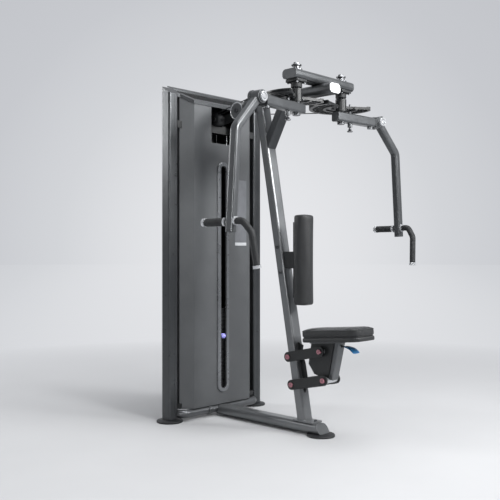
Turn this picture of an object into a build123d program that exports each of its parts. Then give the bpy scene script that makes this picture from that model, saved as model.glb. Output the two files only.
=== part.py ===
from build123d import *
import os
from math import sin, cos, tan, asin, acos, atan2, radians, degrees, sqrt, hypot

os.makedirs("parts", exist_ok=True)

# Pec deck machine: weight tower at the back (+Y), pad, seat and arms in front (-Y), +Z up.
# Helper coordinate "t" is the distance forward of the tower column line: y = MID - t.

# ---- driving dimensions (mm) ----
MID = 527.5                      # tower column line behind the middle of the footprint
FOOT_D, FOOT_H = 150.0, 14.0     # round levelling feet
COL_X, COL_W, COL_D = 344.5, 65.0, 73.0
TOP_Z0, TOP_SLOPE = 1902.0, 0.62 # slanted tower top: z = TOP_Z0 - TOP_SLOPE * t
TRAY = 20.0                      # depth of the slanted top rim
CAP = 4.0                        # closed ends of the columns and of the upright
SH_X, SH_FLAT, SH_T, SH_BACK, SH_EDGE = 290.0, 227.0, 79.0, 66.0, 21.0
SH_Z0, SKIN = 68.0, 3.0
SLOT_W, SLOT_Z0, SLOT_Z1 = 66.0, 150.0, 1499.0
TRIM_OUT, TRIM_IN, TRIM_H = 14.0, 10.0, 10.0              # slot trim: outside, inside, height
CUT_X, CUT_Z0 = 93.0, 1620.0     # cable opening in the front shroud
PLATE_P, PLATE_G, N_REST, N_LIFT, STACK_Z0 = 25.0, 1.0, 14, 6, 110.0
PLATE_W, PLATE_D = 300.0, 120.0
ROD_X, ROD_D = 110.0, 20.0
BEAM_W, BEAM_H = 90.0, 54.0
FOOT_T = 830.0                   # front foot centre
UP_T0, UP_Z0, UP_T1, UP_Z1 = 721.0, 67.0, 407.0, 1804.0   # upright centre line
UP_W, UP_D = 75.0, 55.0
BEAM_Z0, BEAM_T0, BEAM_T1 = 1800.0, 383.0, 920.0          # upper beam
BAR_HALF, BAR_D, BAR_H = 240.0, 92.0, 50.0                # cross-bar
PIV_X, PIV_T = 186.3, 820.6      # vertical arm pivots
ARM_YAW = 4.54                   # arms stand this far forward of sideways at rest
CAM_R, CAM_Z = 170.0, 1767.0
ARM_Z, ARM_S, ARM_IN, ARM_OUT = 1711.5, 52.0, 41.0, 268.0
KN_S, KN_Z, KN_R = 314.0, 1718.0, 33.0
BEND_S, BEND_Z, END_S, END_Z = 475.0, 1552.0, 510.0, 1069.0
GRIP_Z, GRIP_R = 1112.0, 19.0
CABLE_R, CABLE_X = 2.75, 20.0
RISE_Z, TURN_T, TURN_Z = 1797.0, 345.0, 1863.6            # cable corner points
R_TOWER, R_IDLER, R_BEAM, R_LEG = 32.0, 38.0, 30.0, 22.0  # pulley groove radii
IDLER_T, IDLER_RIM = 221.0, 51.0
PAD_T0, PAD_T1, PAD_W, PAD_Z0, PAD_Z1 = 669.0, 759.0, 110.0, 686.0, 1175.0
SEAT_W, SEAT_T0, SEAT_T1, SEAT_TOP = 182.0, 753.0, 1130.0, 578.0
SEAT_TILT = 5.0                  # front of the seat pad higher than the back, degrees
RU, RL = (648.0, 406.0), (671.5, 257.5)                   # rear link pivots (t, z)
LINK = (217.0, 47.5)                                      # link vector (t, z)
LINK_X0, LINK_X1 = 48.5, 56.5                             # link plates from the middle
FU, FL = (RU[0] + LINK[0], RU[1] + LINK[1]), (RL[0] + LINK[0], RL[1] + LINK[1])

NODES = {}


def keep(name, *shapes):
    """Store one named node made of one or more separate solids."""
    NODES[name] = list(shapes)


def pt(x, t, z):
    return Vector(x, -t, z)


def block(x0, x1, t0, t1, z0, z1):
    b = Box(abs(x1 - x0), abs(t1 - t0), abs(z1 - z0))
    return Pos((x0 + x1) / 2, -(t0 + t1) / 2, (z0 + z1) / 2) * b


def rod(a, b, r):
    a, b = Vector(a), Vector(b)
    d = b - a
    return Plane(origin=a, z_dir=d) * Pos(0, 0, d.length / 2) * Cylinder(r, d.length)


def ring(a, b, r, bore):
    return rod(a, b, r) - rod(a, b, bore)


def bar(a, b, w, h, rad, x_dir=(1, 0, 0), wall=0.0):
    """Straight rounded box section from a to b, w along x_dir."""
    a, b = Vector(a), Vector(b)
    d = b - a
    pl = Plane(origin=a, x_dir=x_dir, z_dir=d)
    body = extrude(pl * RectangleRounded(w, h, rad), d.length)
    if wall:
        inner = RectangleRounded(w - 2 * wall, h - 2 * wall, max(rad - wall, 1))
        body -= extrude(pl * inner, d.length)
    return body


def side_plate(points, x0, x1):
    """Flat plate with a (t, z) outline between two x positions."""
    pts = [(-t, z) for t, z in points]
    pl = Plane(origin=(x0, 0, 0), x_dir=(0, 1, 0), z_dir=(1, 0, 0))
    return extrude(pl * make_face(Polyline(*pts, close=True)), x1 - x0)


def round_link(p, q, x0, x1, r, bore_p, bore_q):
    """Link bar with round ends at p and q (t, z) and a bore at each end."""
    ang = atan2(q[1] - p[1], q[0] - p[0])
    n = (-sin(ang) * r, cos(ang) * r)
    pts = [(p[0] + n[0], p[1] + n[1]), (q[0] + n[0], q[1] + n[1]),
           (q[0] - n[0], q[1] - n[1]), (p[0] - n[0], p[1] - n[1])]
    body = side_plate(pts, x0, x1)
    for c, b in ((p, bore_p), (q, bore_q)):
        body += rod(pt(x0, *c), pt(x1, *c), r)
    for c, b in ((p, bore_p), (q, bore_q)):
        body -= rod(pt(x0 - 1, *c), pt(x1 + 1, *c), b)
    return body


def mirrored(shape):
    return mirror(shape, about=Plane.YZ)


def pair(stem, shape):
    """Write a right-hand piece and its left-hand mirror image."""
    keep(stem + "_right", shape)
    keep(stem + "_left", mirrored(shape))


def above_top(drop=0.0):
    """Everything above the slanted tower top plane, lowered by drop."""
    pl = Plane(origin=(0, 0, TOP_Z0 - drop), x_dir=(1, 0, 0), z_dir=(0, -TOP_SLOPE, 1))
    return pl * Pos(0, 0, 200) * Box(1400, 900, 400)


def up_t(z):
    return UP_T0 + (UP_T1 - UP_T0) * (z - UP_Z0) / (UP_Z1 - UP_Z0)


# ---- tower ----
def tower_frame():
    a, b = pt(COL_X, 0, FOOT_H), pt(COL_X, 0, 1990)
    col = bar(a, b, COL_W, COL_D, 12, wall=3.5) - above_top()
    col += (bar(a, b, COL_W, COL_D, 12) & above_top(CAP)) - above_top()
    col -= block(COL_X - 8, COL_X - 2, COL_D / 2 - 1.5, COL_D / 2 + 5, 30, 1960)
    keep("tower_columns", col, mirrored(col))
    foot = Pos(COL_X, 0, FOOT_H / 2) * Cylinder(FOOT_D / 2, FOOT_H)
    foot = chamfer(foot.edges().filter_by(GeomType.CIRCLE).group_by(Axis.Z)[-1], 4)
    front = Pos(-COL_X, -FOOT_T, 0) * foot
    keep("levelling_feet", foot, mirrored(foot), front)
    tray = upright_prism(tray_outline(311.5, SH_X, SH_FLAT + 3, 26, SH_T + 3, -SH_BACK))
    pocket = upright_prism(tray_outline(286, 262, SH_FLAT - 14, 12, SH_T - 18, -SH_BACK + 18))
    tray = tray - above_top() - tray_below() - (pocket & above_top(TRAY - 5))
    keep("tower_top_rim", tray)
    keep("stack_base", cross_channel(72, 100) - rods_at(ROD_D / 2 + 0.02, 60, 110))


def tray_outline(x_side, x_mid, x_flat, t_side, t_front, t_back):
    """Plan outline (x, t) of the slanted top: it follows the front cover's flanks."""
    half = [(x_side, t_back), (x_side, t_side), (x_mid, t_side), (x_flat, t_front)]
    return half + [(-x, t) for x, t in half[::-1]]


def upright_prism(outline):
    line = [(x, -t) for x, t in outline]
    return Pos(0, 0, 1780) * extrude(make_face(Polyline(*line, close=True)), 210)


def cross_channel(z0, z1):
    out = block(-311.5, 311.5, -30, 30, z0, z1)
    return out - block(-311.5, 311.5, -26, 26, z0 + 4, z1 - 4)


def channel_notches():
    return block(-320, 320, -30.5, 30.5, 1689.5, 1730.5) + block(-320, 320, -30.5, 30.5, 71, 100.5)


def tray_below():
    pl = Plane(origin=(0, 0, TOP_Z0 - TRAY), x_dir=(1, 0, 0), z_dir=(0, -TOP_SLOPE, 1))
    return pl * Pos(0, 0, -200) * Box(1400, 900, 400)


def rods_at(r, z0, z1):
    a = rod(pt(ROD_X, 0, z0), pt(ROD_X, 0, z1), r)
    return a + mirrored(a)


def skin(back):
    """Folded cover: flat middle, slanted flanks, short returns."""
    s = -1 if back else 1
    face = SH_BACK if back else SH_T
    pts = [(-SH_X, 1 * s), (-SH_X, SH_EDGE * s), (-SH_FLAT, face * s),
           (SH_FLAT, face * s), (SH_X, SH_EDGE * s), (SH_X, 1 * s)]
    k = SKIN
    inn = [(-SH_X + k, 1 * s), (-SH_X + k, (SH_EDGE - 1) * s), (-SH_FLAT + 1, (face - k) * s),
           (SH_FLAT - 1, (face - k) * s), (SH_X - k, (SH_EDGE - 1) * s), (SH_X - k, 1 * s)]
    line = [(x, -t) for x, t in pts + inn[::-1]]
    sheet = extrude(make_face(Polyline(*line, close=True)), 1990 - SH_Z0)
    return Pos(0, 0, SH_Z0) * sheet


def slot_shape(w, t0, t1, grow=0.0):
    h = SLOT_Z1 - SLOT_Z0 + 2 * grow
    pl = Plane(origin=(0, -t0, (SLOT_Z0 + SLOT_Z1) / 2), x_dir=(1, 0, 0), z_dir=(0, -1, 0))
    return extrude(pl * RectangleRounded(w, h, w / 2 - 0.05), t1 - t0)


def tower_covers():
    front = skin(False) - above_top(TRAY) - slot_shape(SLOT_W, 60, 90)
    front = front - block(-CUT_X, CUT_X, 60, 90, CUT_Z0, 1960) - channel_notches()
    keep("front_shroud", front)
    keep("rear_shroud", skin(True) - above_top(TRAY) - channel_notches())
    trim = slot_shape(SLOT_W + 2 * TRIM_OUT, SH_T, SH_T + TRIM_H, TRIM_OUT)
    trim = fillet(trim.edges().group_by(Axis.Y)[0], 7)
    lip = slot_shape(SLOT_W - 0.4, SH_T - 4, SH_T, -0.2)
    hole = slot_shape(SLOT_W - 2 * TRIM_IN, 60, 99, -TRIM_IN)
    keep("slot_trim", trim + lip - hole)


# ---- weight stack ----
def stack():
    def plate(z, t, pin=True):
        p = block(-PLATE_W / 2, PLATE_W / 2, -PLATE_D / 2, PLATE_D / 2, z, z + t)
        p = chamfer(p.edges().filter_by(Axis.X), 2)
        p -= rods_at(ROD_D / 2 + 0.5, z - 1, z + t + 1)
        p -= rod(pt(0, 0, z - 1), pt(0, 0, z + t + 1), 13)
        if pin:
            p -= rod(pt(0, 5, z + t / 2), pt(0, 70, z + t / 2), 5)
        return p
    t = PLATE_P - PLATE_G
    low = [plate(STACK_Z0 + PLATE_P * i, t) for i in range(N_REST)]
    high = [plate(STACK_Z0 + PLATE_P * i, t) for i in range(N_REST, N_REST + N_LIFT)]
    keep("resting_plates", *low)
    keep("lifted_plates", *high)
    z = STACK_Z0 + PLATE_P * (N_REST + N_LIFT)
    head = block(-PLATE_W / 2, PLATE_W / 2, -PLATE_D / 2, PLATE_D / 2, z, z + 25)
    head = chamfer(head.edges().filter_by(Axis.X), 2) - rods_at(ROD_D / 2 + 0.05, z - 1, z + 30)
    zs = STACK_Z0 + PLATE_P * (N_REST + 0.5) - PLATE_G / 2
    stem = rod(pt(0, 0, STACK_Z0 + 4), pt(0, 0, z + 34), 12)
    for i in range(N_REST + N_LIFT):
        zz = STACK_Z0 + PLATE_P * i + t / 2
        stem -= rod(pt(0, -20, zz), pt(0, 20, zz), 5)
    a = rod(pt(CABLE_X, 0, z + 24), pt(CABLE_X, 0, z + 50), 6.5)
    keep("top_plate", head + a + mirrored(a) + stem)
    pin = rod(pt(0, -11, zs), pt(0, 64, zs), 4.95)
    keep("selector_pin", pin)
    knob = rod(pt(0, 64, zs), pt(0, 90, zs), 15) + rod(pt(0, 90, zs), pt(0, 97, zs), 12)
    keep("selector_knob", knob)
    g = rod(pt(ROD_X, 0, 74), pt(ROD_X, 0, 1728), ROD_D / 2)
    keep("guide_rods", g, mirrored(g))
    b = ring(pt(ROD_X, 0, 100), pt(ROD_X, 0, STACK_Z0), 24, ROD_D / 2 + 0.3)
    keep("stack_bumpers", b, mirrored(b))
    return zs, z


# ---- base, upright and upper beam ----
def base_and_upright():
    path = FilletPolyline(pt(-304, -10, 43), pt(-304, 60, 43), pt(304, 60, 43), pt(304, -10, 43),
                          radius=45)
    sec = Plane(origin=path @ 0, z_dir=path % 0)
    tube = sweep(sec * Circle(24), path=path) - sweep(sec * Circle(20.5), path=path)
    col = block(COL_X - COL_W / 2, COL_X + COL_W / 2, -COL_D / 2, COL_D / 2, 0, 200)
    tube -= col + mirrored(col)
    tube -= block(-60, 60, 84.0 - 0.5, 100, 0, 100)
    f1 = ring(pt(-112, 60, 43), pt(-103, 60, 43), 28, 23)
    f2 = ring(pt(-101, 60, 43), pt(-92, 60, 43), 28, 23)
    tube = tube.solids().sort_by(SortBy.VOLUME)[-1]
    keep("base_cross_tube", tube + f1 + f2)
    z0, z1 = 10.0, 10.0 + BEAM_H
    zc = (z0 + z1) / 2
    beam = bar(pt(0, 60, zc), pt(0, 852, zc), BEAM_W, BEAM_H, 22, wall=3.5)
    cut = side_plate([(818 - 3, z1 + 6), (900, z1 + 6), (900, z0 - 6), (856, z0 - 6)], -60, 60)
    tube_bore = rod(pt(-300, 60, 43), pt(300, 60, 43), 24.05)
    beam = beam - cut - tube_bore - block(-60, 60, 0, 62, 0, 100)
    beam -= Pos(0, -FOOT_T, FOOT_H / 2) * Cylinder(FOOT_D / 2 + 0.3, FOOT_H + 0.4)
    keep("base_beam", beam.solids().sort_by(SortBy.VOLUME)[-1])
    cap = side_plate([(815.2, z1 + 5.8), (820.2, z1 + 5.8), (857, z0 + 4.6), (852, z0 + 4.6)], -60, 60)
    shell = bar(pt(0, 700, zc), pt(0, 900, zc), BEAM_W, BEAM_H, 22)
    cap = (cap & shell)
    end_caps = [cap]
    foot_plate = block(-40, 40, 668, 806, z1, z1 + 8)
    bolts = [rod(pt(0, t, z1 + 8), pt(0, t, z1 + 18), 10) for t in (678, 796)]
    zb, zt = z1 + 8, BEAM_Z0
    d = Vector(0, -(up_t(zt + 80) - up_t(zb - 80)), zt - zb + 160)
    a = pt(0, up_t(zb - 80), zb - 80)
    up = bar(a, a + d, UP_W, UP_D, 14, wall=3.5)
    up = up - block(-60, 60, 0, 1200, -200, zb) - block(-60, 60, 0, 1200, zt, 2200)
    up += foot_plate + (bar(a, a + d, UP_W, UP_D, 14) & block(-60, 60, 300, 500, zt - CAP, zt))
    for t, z in (RU, RL):
        up -= rod(pt(-60, t, z), pt(60, t, z), 8.0)
    keep("upright", up + leg_post())
    xb = bar(pt(0, BEAM_T0, BEAM_Z0 + BEAM_H / 2), pt(0, BEAM_T1, BEAM_Z0 + BEAM_H / 2),
             BEAM_W, BEAM_H, 22, wall=3.5)
    keep("upper_beam", xb)
    zm = BEAM_Z0 + BEAM_H / 2
    capf = bar(pt(0, BEAM_T1, zm), pt(0, BEAM_T1 + 5, zm), BEAM_W, BEAM_H, 22)
    capb = bar(pt(0, BEAM_T0 - 3, zm), pt(0, BEAM_T0, zm), BEAM_W, BEAM_H, 22)
    end_caps += [capf, capb]
    brace = bar(pt(0, 420, 1495), pt(0, 592, 1809), 70, 50, 10, wall=3.5)
    lean = bar(a, a + d, UP_W + 20, UP_D, 14)
    brace = brace - block(-60, 60, 300, 700, BEAM_Z0, 1900) - lean_cut(a, d)
    keep("diagonal_brace", brace.solids().sort_by(SortBy.VOLUME)[-1])
    return end_caps, bolts


def leg_post():
    """Block behind the upright head that carries the two side pulleys."""
    post = block(-13, 13, 356, 420, 1772, 1799.5)
    return post - block(-60, 60, up_t(1785) - 26.0, 500, 1700, 1850)


def lean_cut(a, d):
    """Everything behind the front face of the leaning upright."""
    back = Vector(0, d.Z, -d.Y).normalized()
    mid = a + back * (300 - UP_D / 2)
    return bar(mid, mid + d, 200, 600, 1)


# ---- cross-bar, pivots, cams ----
def pivots(end_caps, bolts):
    z0 = BEAM_Z0 + BEAM_H
    zc = z0 + BAR_H / 2
    bx = bar(pt(-BAR_HALF, PIV_T, zc), pt(BAR_HALF, PIV_T, zc), BAR_H, BAR_D, 20,
             x_dir=(0, 0, 1), wall=3.5)
    ax = rod(pt(PIV_X, PIV_T, z0 - 40), pt(PIV_X, PIV_T, z0 + 60), 12.5)
    c = bar(pt(BAR_HALF, PIV_T, zc), pt(BAR_HALF + 4, PIV_T, zc), BAR_H, BAR_D, 20, x_dir=(0, 0, 1))
    keep("beam_end_caps", *(end_caps + [c, mirrored(c)]))
    axle = rod(pt(PIV_X, PIV_T, 1672), pt(PIV_X, PIV_T, z0 + BAR_H + 30), 12.5)
    axle += rod(pt(PIV_X, PIV_T, 1672), pt(PIV_X, PIV_T, 1682), 20)
    bx = bx - ax - mirrored(ax)
    h = bar(pt(PIV_X, PIV_T, z0 - 12), pt(PIV_X, PIV_T, z0), 84, 84, 10)
    h -= rod(pt(PIV_X, PIV_T, z0 - 20), pt(PIV_X, PIV_T, z0 + 8), 12.5)
    h += ring(pt(PIV_X, PIV_T, z0 - 38), pt(PIV_X, PIV_T, z0 - 12), 29, 12.5)
    h -= block(0, BEAM_W / 2 + 0.5, 700, 950, z0 - 60, z0 + 1)
    keep("cross_bar", bx + h + mirrored(h))
    n = ring(pt(PIV_X, PIV_T, z0 + BAR_H), pt(PIV_X, PIV_T, z0 + BAR_H + 6), 31, 12.5)
    n += ring(pt(PIV_X, PIV_T, z0 + BAR_H + 6), pt(PIV_X, PIV_T, z0 + BAR_H + 22), 19, 12.5)
    n += ring(pt(PIV_X, PIV_T, z0 + BAR_H + 22), pt(PIV_X, PIV_T, z0 + BAR_H + 30), 26, 12.5)
    n += rod(pt(PIV_X, PIV_T, z0 + BAR_H + 30), pt(PIV_X, PIV_T, z0 + BAR_H + 41), 16)
    keep("arm_axles", axle + n, mirrored(axle + n))
    hb = []
    for x in (PIV_X - 30, PIV_X + 30):
        for t in (PIV_T - 30, PIV_T + 30):
            hb.append(rod(pt(x, t, z0 - 20), pt(x, t, z0 - 12), 6))
    xb = LINK_X1 + 3.5
    rear = [rod(pt(-xb, *c), pt(xb, *c), 8) for c in (RU, RL)]
    keep("frame_bolts", *(bolts + hb + [mirrored(s) for s in hb] + rear + pad_bolts()))


def cam():
    """Right-hand cam about the pivot: grooved sector open at the inner front."""
    disc = Pos(0, 0, CAM_Z - 7) * Cylinder(CAM_R + 4, 14, align=(Align.CENTER, Align.CENTER, Align.MIN))
    groove = Pos(0, 0, CAM_Z) * (Cylinder(CAM_R + 9, 7.2) - Cylinder(CAM_R - 3.2, 20))
    pts = [(0, 0)]
    for k in range(0, 14):
        a = radians(32 + k * (133.0 / 13))       # the open part, inner front
        pts.append((400 * cos(a), -400 * sin(a)))
    wedge = extrude(make_face(Polyline(*pts, close=True)), 60).moved(Location((0, 0, CAM_Z - 30)))
    c = disc - groove - wedge
    c += Pos(0, 0, 1742) * Cylinder(30, 66, align=(Align.CENTER, Align.CENTER, Align.MIN))
    for a in (-60, -100, -140):
        w = radians(a)
        c -= Pos(105 * cos(w), -105 * sin(w), CAM_Z) * Cylinder(26, 40)
    c -= Pos(0, 0, CAM_Z) * Cylinder(12.55, 400)
    for k in range(-3, 5):
        w = radians(ARM_YAW + k * -15.0)
        c -= Pos(74 * cos(w), -74 * sin(w), CAM_Z) * Cylinder(6.3, 40)
    return Pos(PIV_X, -PIV_T, 0) * c


# ---- arms ----
def at_arm(shape):
    """Place a shape drawn along +X at the right-hand pivot, turned forward."""
    return Pos(PIV_X, -PIV_T, 0) * Rot(0, 0, -ARM_YAW) * shape


def arms():
    tube = bar((-ARM_IN, 0, ARM_Z), (ARM_OUT, 0, ARM_Z), ARM_S, ARM_S, 10, x_dir=(0, 1, 0), wall=3)
    hub = Cylinder(21, 56.5)
    tube = tube + Pos(0, 0, 1712.25) * hub
    tube -= Pos(0, 0, ARM_Z) * Cylinder(12.55, 120)
    tube -= Pos(74, 0, ARM_Z) * Cylinder(9.0, 120)
    tube += bar((-ARM_IN - 4, 0, ARM_Z), (-ARM_IN, 0, ARM_Z), ARM_S, ARM_S, 10, x_dir=(0, 1, 0))
    sl = ring((74, 0, 1664), (74, 0, 1752), 9.0, 6.05)
    sl += ring((74, 0, 1664), (74, 0, ARM_Z - ARM_S / 2), 13, 6.05)
    pin = rod((74, 0, 1652), (74, 0, 1792), 6.0) + rod((74, 0, 1638), (74, 0, 1646), 15)
    pin += rod((74, 0, 1646), (74, 0, 1654), 9)
    pair("lock_pin", at_arm(pin))
    br = bar((ARM_OUT, 0, ARM_Z), (ARM_OUT + 8, 0, ARM_Z), 60, ARM_S + 6, 8, x_dir=(0, 1, 0))
    br += Pos((ARM_OUT + KN_S) / 2, 30, KN_Z) * Box(KN_S - ARM_OUT, 10, 52)
    br += rod((KN_S, 25, KN_Z), (KN_S, 35, KN_Z), KN_R + 3)
    br -= rod((KN_S, 40, KN_Z), (KN_S, 20, KN_Z), 10)
    cp = rod((KN_S, -32, KN_Z), (KN_S, -42, KN_Z), 24)
    cp = chamfer(cp.edges().filter_by(GeomType.CIRCLE), 2)
    pair("hinge_pin", at_arm(cp + rod((KN_S, 35, KN_Z), (KN_S, -33, KN_Z), 10)))
    stop = rod((ARM_OUT - 22, 0, ARM_Z - ARM_S / 2 - 12), (ARM_OUT - 22, 0, ARM_Z - ARM_S / 2 + 1), 16)
    pair("arm_tube", at_arm(tube + sl + br + stop))


def swing_arms():
    path = FilletPolyline((KN_S + 12, 0, KN_Z - 12.4), (BEND_S, 0, BEND_Z), (END_S, 0, END_Z),
                          radius=50)
    pl = Plane(origin=path @ 0, x_dir=(0, 1, 0), z_dir=path % 0)
    tube = sweep(pl * RectangleRounded(44, 40, 11), path=path)
    tube -= sweep(pl * RectangleRounded(38, 34, 8), path=path)
    barrel = rod((KN_S, 24, KN_Z), (KN_S, -31, KN_Z), KN_R)
    tube = tube + barrel
    tube -= rod((KN_S, 40, KN_Z), (KN_S, -60, KN_Z), 10.05)
    tube = tube.solids().sort_by(SortBy.VOLUME)[-1]
    k = (END_Z - GRIP_Z) / (END_Z - BEND_Z)
    gs = END_S + (BEND_S - END_S) * k
    d = Vector(END_S - BEND_S, 0, END_Z - BEND_Z).normalized()
    e = Vector(END_S, 0, END_Z)
    tube += bar(e, e + d * 4, 44, 40, 11, x_dir=(0, 1, 0))
    core = rod((gs, 21, GRIP_Z), (gs, 32, GRIP_Z), 17)
    core += rod((gs, 32, GRIP_Z), (gs, 172, GRIP_Z), 12)
    core += rod((gs, -21, GRIP_Z + 4), (gs, -30, GRIP_Z + 4), 14)
    pair("swing_arm", at_arm(tube + core))
    pair("straight_grip", at_arm(ring((gs, 42, GRIP_Z), (gs, 160, GRIP_Z), GRIP_R, 12)))
    rg = ring((gs, 32, GRIP_Z), (gs, 42, GRIP_Z), 21, 12)
    rg2 = ring((gs, 160, GRIP_Z), (gs, 172, GRIP_Z), 21, 12) + rod((gs, 172, GRIP_Z), (gs, 175, GRIP_Z), 21)
    cpts = [(gs, -30, GRIP_Z + 4), (gs, -70, GRIP_Z + 4), (gs - 12, -112, GRIP_Z - 50),
            (gs - 32, -125, GRIP_Z - 200)]
    path2 = FilletPolyline(*cpts, radius=42)
    sec = Plane(origin=path2 @ 0, z_dir=path2 % 0)
    bar2 = sweep(sec * Circle(16.5), path=path2)
    pair("curved_grip", at_arm(bar2))
    e2, d2 = path2 @ 1, path2 % 1
    c2 = rod(e2, e2 + d2 * 14, 19)
    c1 = ring(Vector(gs, -22.2, GRIP_Z + 4), Vector(gs, -30, GRIP_Z + 4), 21, 14)
    pair("grip_rings", Compound(at_arm_all([rg, rg2, c1, c2])))


def at_arm_all(shapes):
    out = []
    for s in shapes:
        out += list(at_arm(s).solids())
    return out


# ---- cables and pulleys ----
def corner(a, b, c, r):
    """Fillet of radius r at corner b: start, middle, end and centre."""
    u, v = (a - b).normalized(), (c - b).normalized()
    half = acos(max(-1, min(1, u.dot(v)))) / 2
    leg = r / tan(half)
    mid = (u + v).normalized()
    cen = b + mid * (r / sin(half))
    return b + u * leg, cen - mid * r, b + v * leg, cen


def cable_points():
    p0 = pt(CABLE_X, 0, 700)
    p1 = pt(CABLE_X, 0, RISE_Z)
    p2 = pt(CABLE_X, TURN_T, TURN_Z)
    p3 = pt(CABLE_X, TURN_T, CAM_Z)
    dx, dt = PIV_X - CABLE_X, PIV_T - TURN_T
    dist = hypot(dx, dt)
    phi = atan2(dx, dt) + asin(CAM_R / dist)
    p4 = pt(PIV_X + CAM_R * cos(phi), PIV_T - CAM_R * sin(phi), CAM_Z)
    return p0, p1, p2, p3, p4, phi


def cables(top_z):
    p0, p1, p2, p3, p4, phi = cable_points()
    s1, m1, e1, c1 = corner(p0, p1, p2, R_TOWER + CABLE_R)
    s2, m2, e2, c2 = corner(p1, p2, p3, R_BEAM + CABLE_R)
    s3, m3, e3, c3 = corner(p2, p3, p4, R_LEG + CABLE_R)
    b0, b1 = -phi, radians(14)
    bm = (b0 + b1) / 2

    def on(a):
        return pt(PIV_X + CAM_R * cos(a), PIV_T + CAM_R * sin(a), CAM_Z)
    edges = [Edge.make_three_point_arc(s1, m1, e1), Edge.make_line(e1, s2),
             Edge.make_three_point_arc(s2, m2, e2), Edge.make_line(e2, s3),
             Edge.make_three_point_arc(s3, m3, e3), Edge.make_line(e3, p4),
             Edge.make_three_point_arc(p4, on(bm), on(b1))]
    wire = Wire(edges)
    sec = Plane(origin=s1, z_dir=Vector(0, 0, 1)) * Circle(CABLE_R)
    pull = sweep(sec, path=wire)
    keep("pull_cables", pull, mirrored(pull))
    v = rod(pt(CABLE_X, 0, top_z + 50), s1, CABLE_R)
    keep("stack_cables", v, mirrored(v))
    return c1, c2, c3, phi, s1


def twin_pulley(cen, r, rim, width, bore):
    x = width / 2
    p = rod(Vector(-x, cen.Y, cen.Z), Vector(x, cen.Y, cen.Z), rim)
    for gx in (-CABLE_X, CABLE_X):
        pl = Plane(origin=(gx, cen.Y, cen.Z), z_dir=(1, 0, 0))
        p -= pl * Torus(r + CABLE_R, CABLE_R + 0.35)
        p -= pl * (Cylinder(rim + 2, 2 * CABLE_R + 0.7) - Cylinder(r + CABLE_R, 60))
    p -= rod(Vector(-x - 1, cen.Y, cen.Z), Vector(x + 1, cen.Y, cen.Z), bore)
    return p


def pulleys(c1, c2, c3, phi):
    alpha = atan2(TURN_Z - RISE_Z, TURN_T)
    zi = RISE_Z + IDLER_T * tan(alpha) - (R_IDLER + CABLE_R) / cos(alpha)
    ci = pt(0, IDLER_T, zi)
    keep("tower_pulley", twin_pulley(c1, R_TOWER, R_TOWER + 4, 54, 8.05))
    keep("idler_pulley", twin_pulley(ci, R_IDLER, IDLER_RIM, 54, 8.05))
    keep("beam_pulley", twin_pulley(c2, R_BEAM, R_BEAM + 3.5, 54, 6.05))
    axles = [rod(Vector(-34, c1.Y, c1.Z), Vector(38, c1.Y, c1.Z), 8),
             rod(Vector(-34, ci.Y, ci.Z), Vector(38, ci.Y, ci.Z), 8)]
    heads = [rod(Vector(-34, c.Y, c.Z), Vector(-28, c.Y, c.Z), 13) for c in (c1, ci)]
    axles = [axles[0] + heads[0], axles[1] + heads[1]]
    pl = side_plate([(-28, 1730), (28, 1730), (60, 1742), (190, 1766), (238, 1776), (246, 1798),
                     (236, 1818), (206, 1820), (60, 1796), (-28, 1788)], 30, 38)
    pl += block(30, 80, -28, 28, 1729, 1738)
    pl -= rod(Vector(20, c1.Y, c1.Z), Vector(60, c1.Y, c1.Z), 8)
    pl -= rod(Vector(20, ci.Y, ci.Z), Vector(60, ci.Y, ci.Z), 8)
    hb = cross_channel(1690, 1730) - rods_at(ROD_D / 2 + 0.02, 1680, 1740)
    for x in (-CABLE_X, CABLE_X):
        hb -= rod(pt(x, 0, 1680), pt(x, 0, 1740), 8)
    keep("head_beam", hb + pl)
    bt, bz = -c2.Y, c2.Z
    low = BEAM_Z0 + 1
    cheek = side_plate([(bt - 18, bz - 16), (bt + 14, bz - 16), (338, low + 19), (394, low + 19),
                        (BEAM_T0 + 4, low), (440, low), (440, low + 23), (bt + 16, bz + 18),
                        (bt - 18, bz + 14)], 30, 36)
    cheek -= rod(Vector(0, c2.Y, c2.Z), Vector(60, c2.Y, c2.Z), 6)
    cheeks = cheek + mirrored(cheek)
    NODES["upper_beam"] = [NODES["upper_beam"][0] + cheeks]
    NODES["beam_end_caps"][2] -= cheeks
    axles.append(rod(Vector(-39, c2.Y, c2.Z), Vector(39, c2.Y, c2.Z), 6))
    n = Vector(cos(phi), sin(phi), 0)
    leg = Plane(origin=c3, z_dir=n) * leg_sheave()
    pair("leg_pulley", leg)
    inner = c3 - n * 32
    ax = rod(c3 + n * 7, inner, 5) - NODES["upright"][0]
    ax = ax.solids().sort_by(Axis.X)[-1]
    keep("pulley_axles", *(axles + [ax, mirrored(ax)]))


def leg_sheave():
    p = Cylinder(R_LEG + 3.5, 9)
    p -= Torus(R_LEG + CABLE_R, CABLE_R + 0.35)
    p -= Cylinder(R_LEG + 10, 2 * CABLE_R + 0.7) - Cylinder(R_LEG + CABLE_R, 60)
    return p - Cylinder(5.05, 40)


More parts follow.
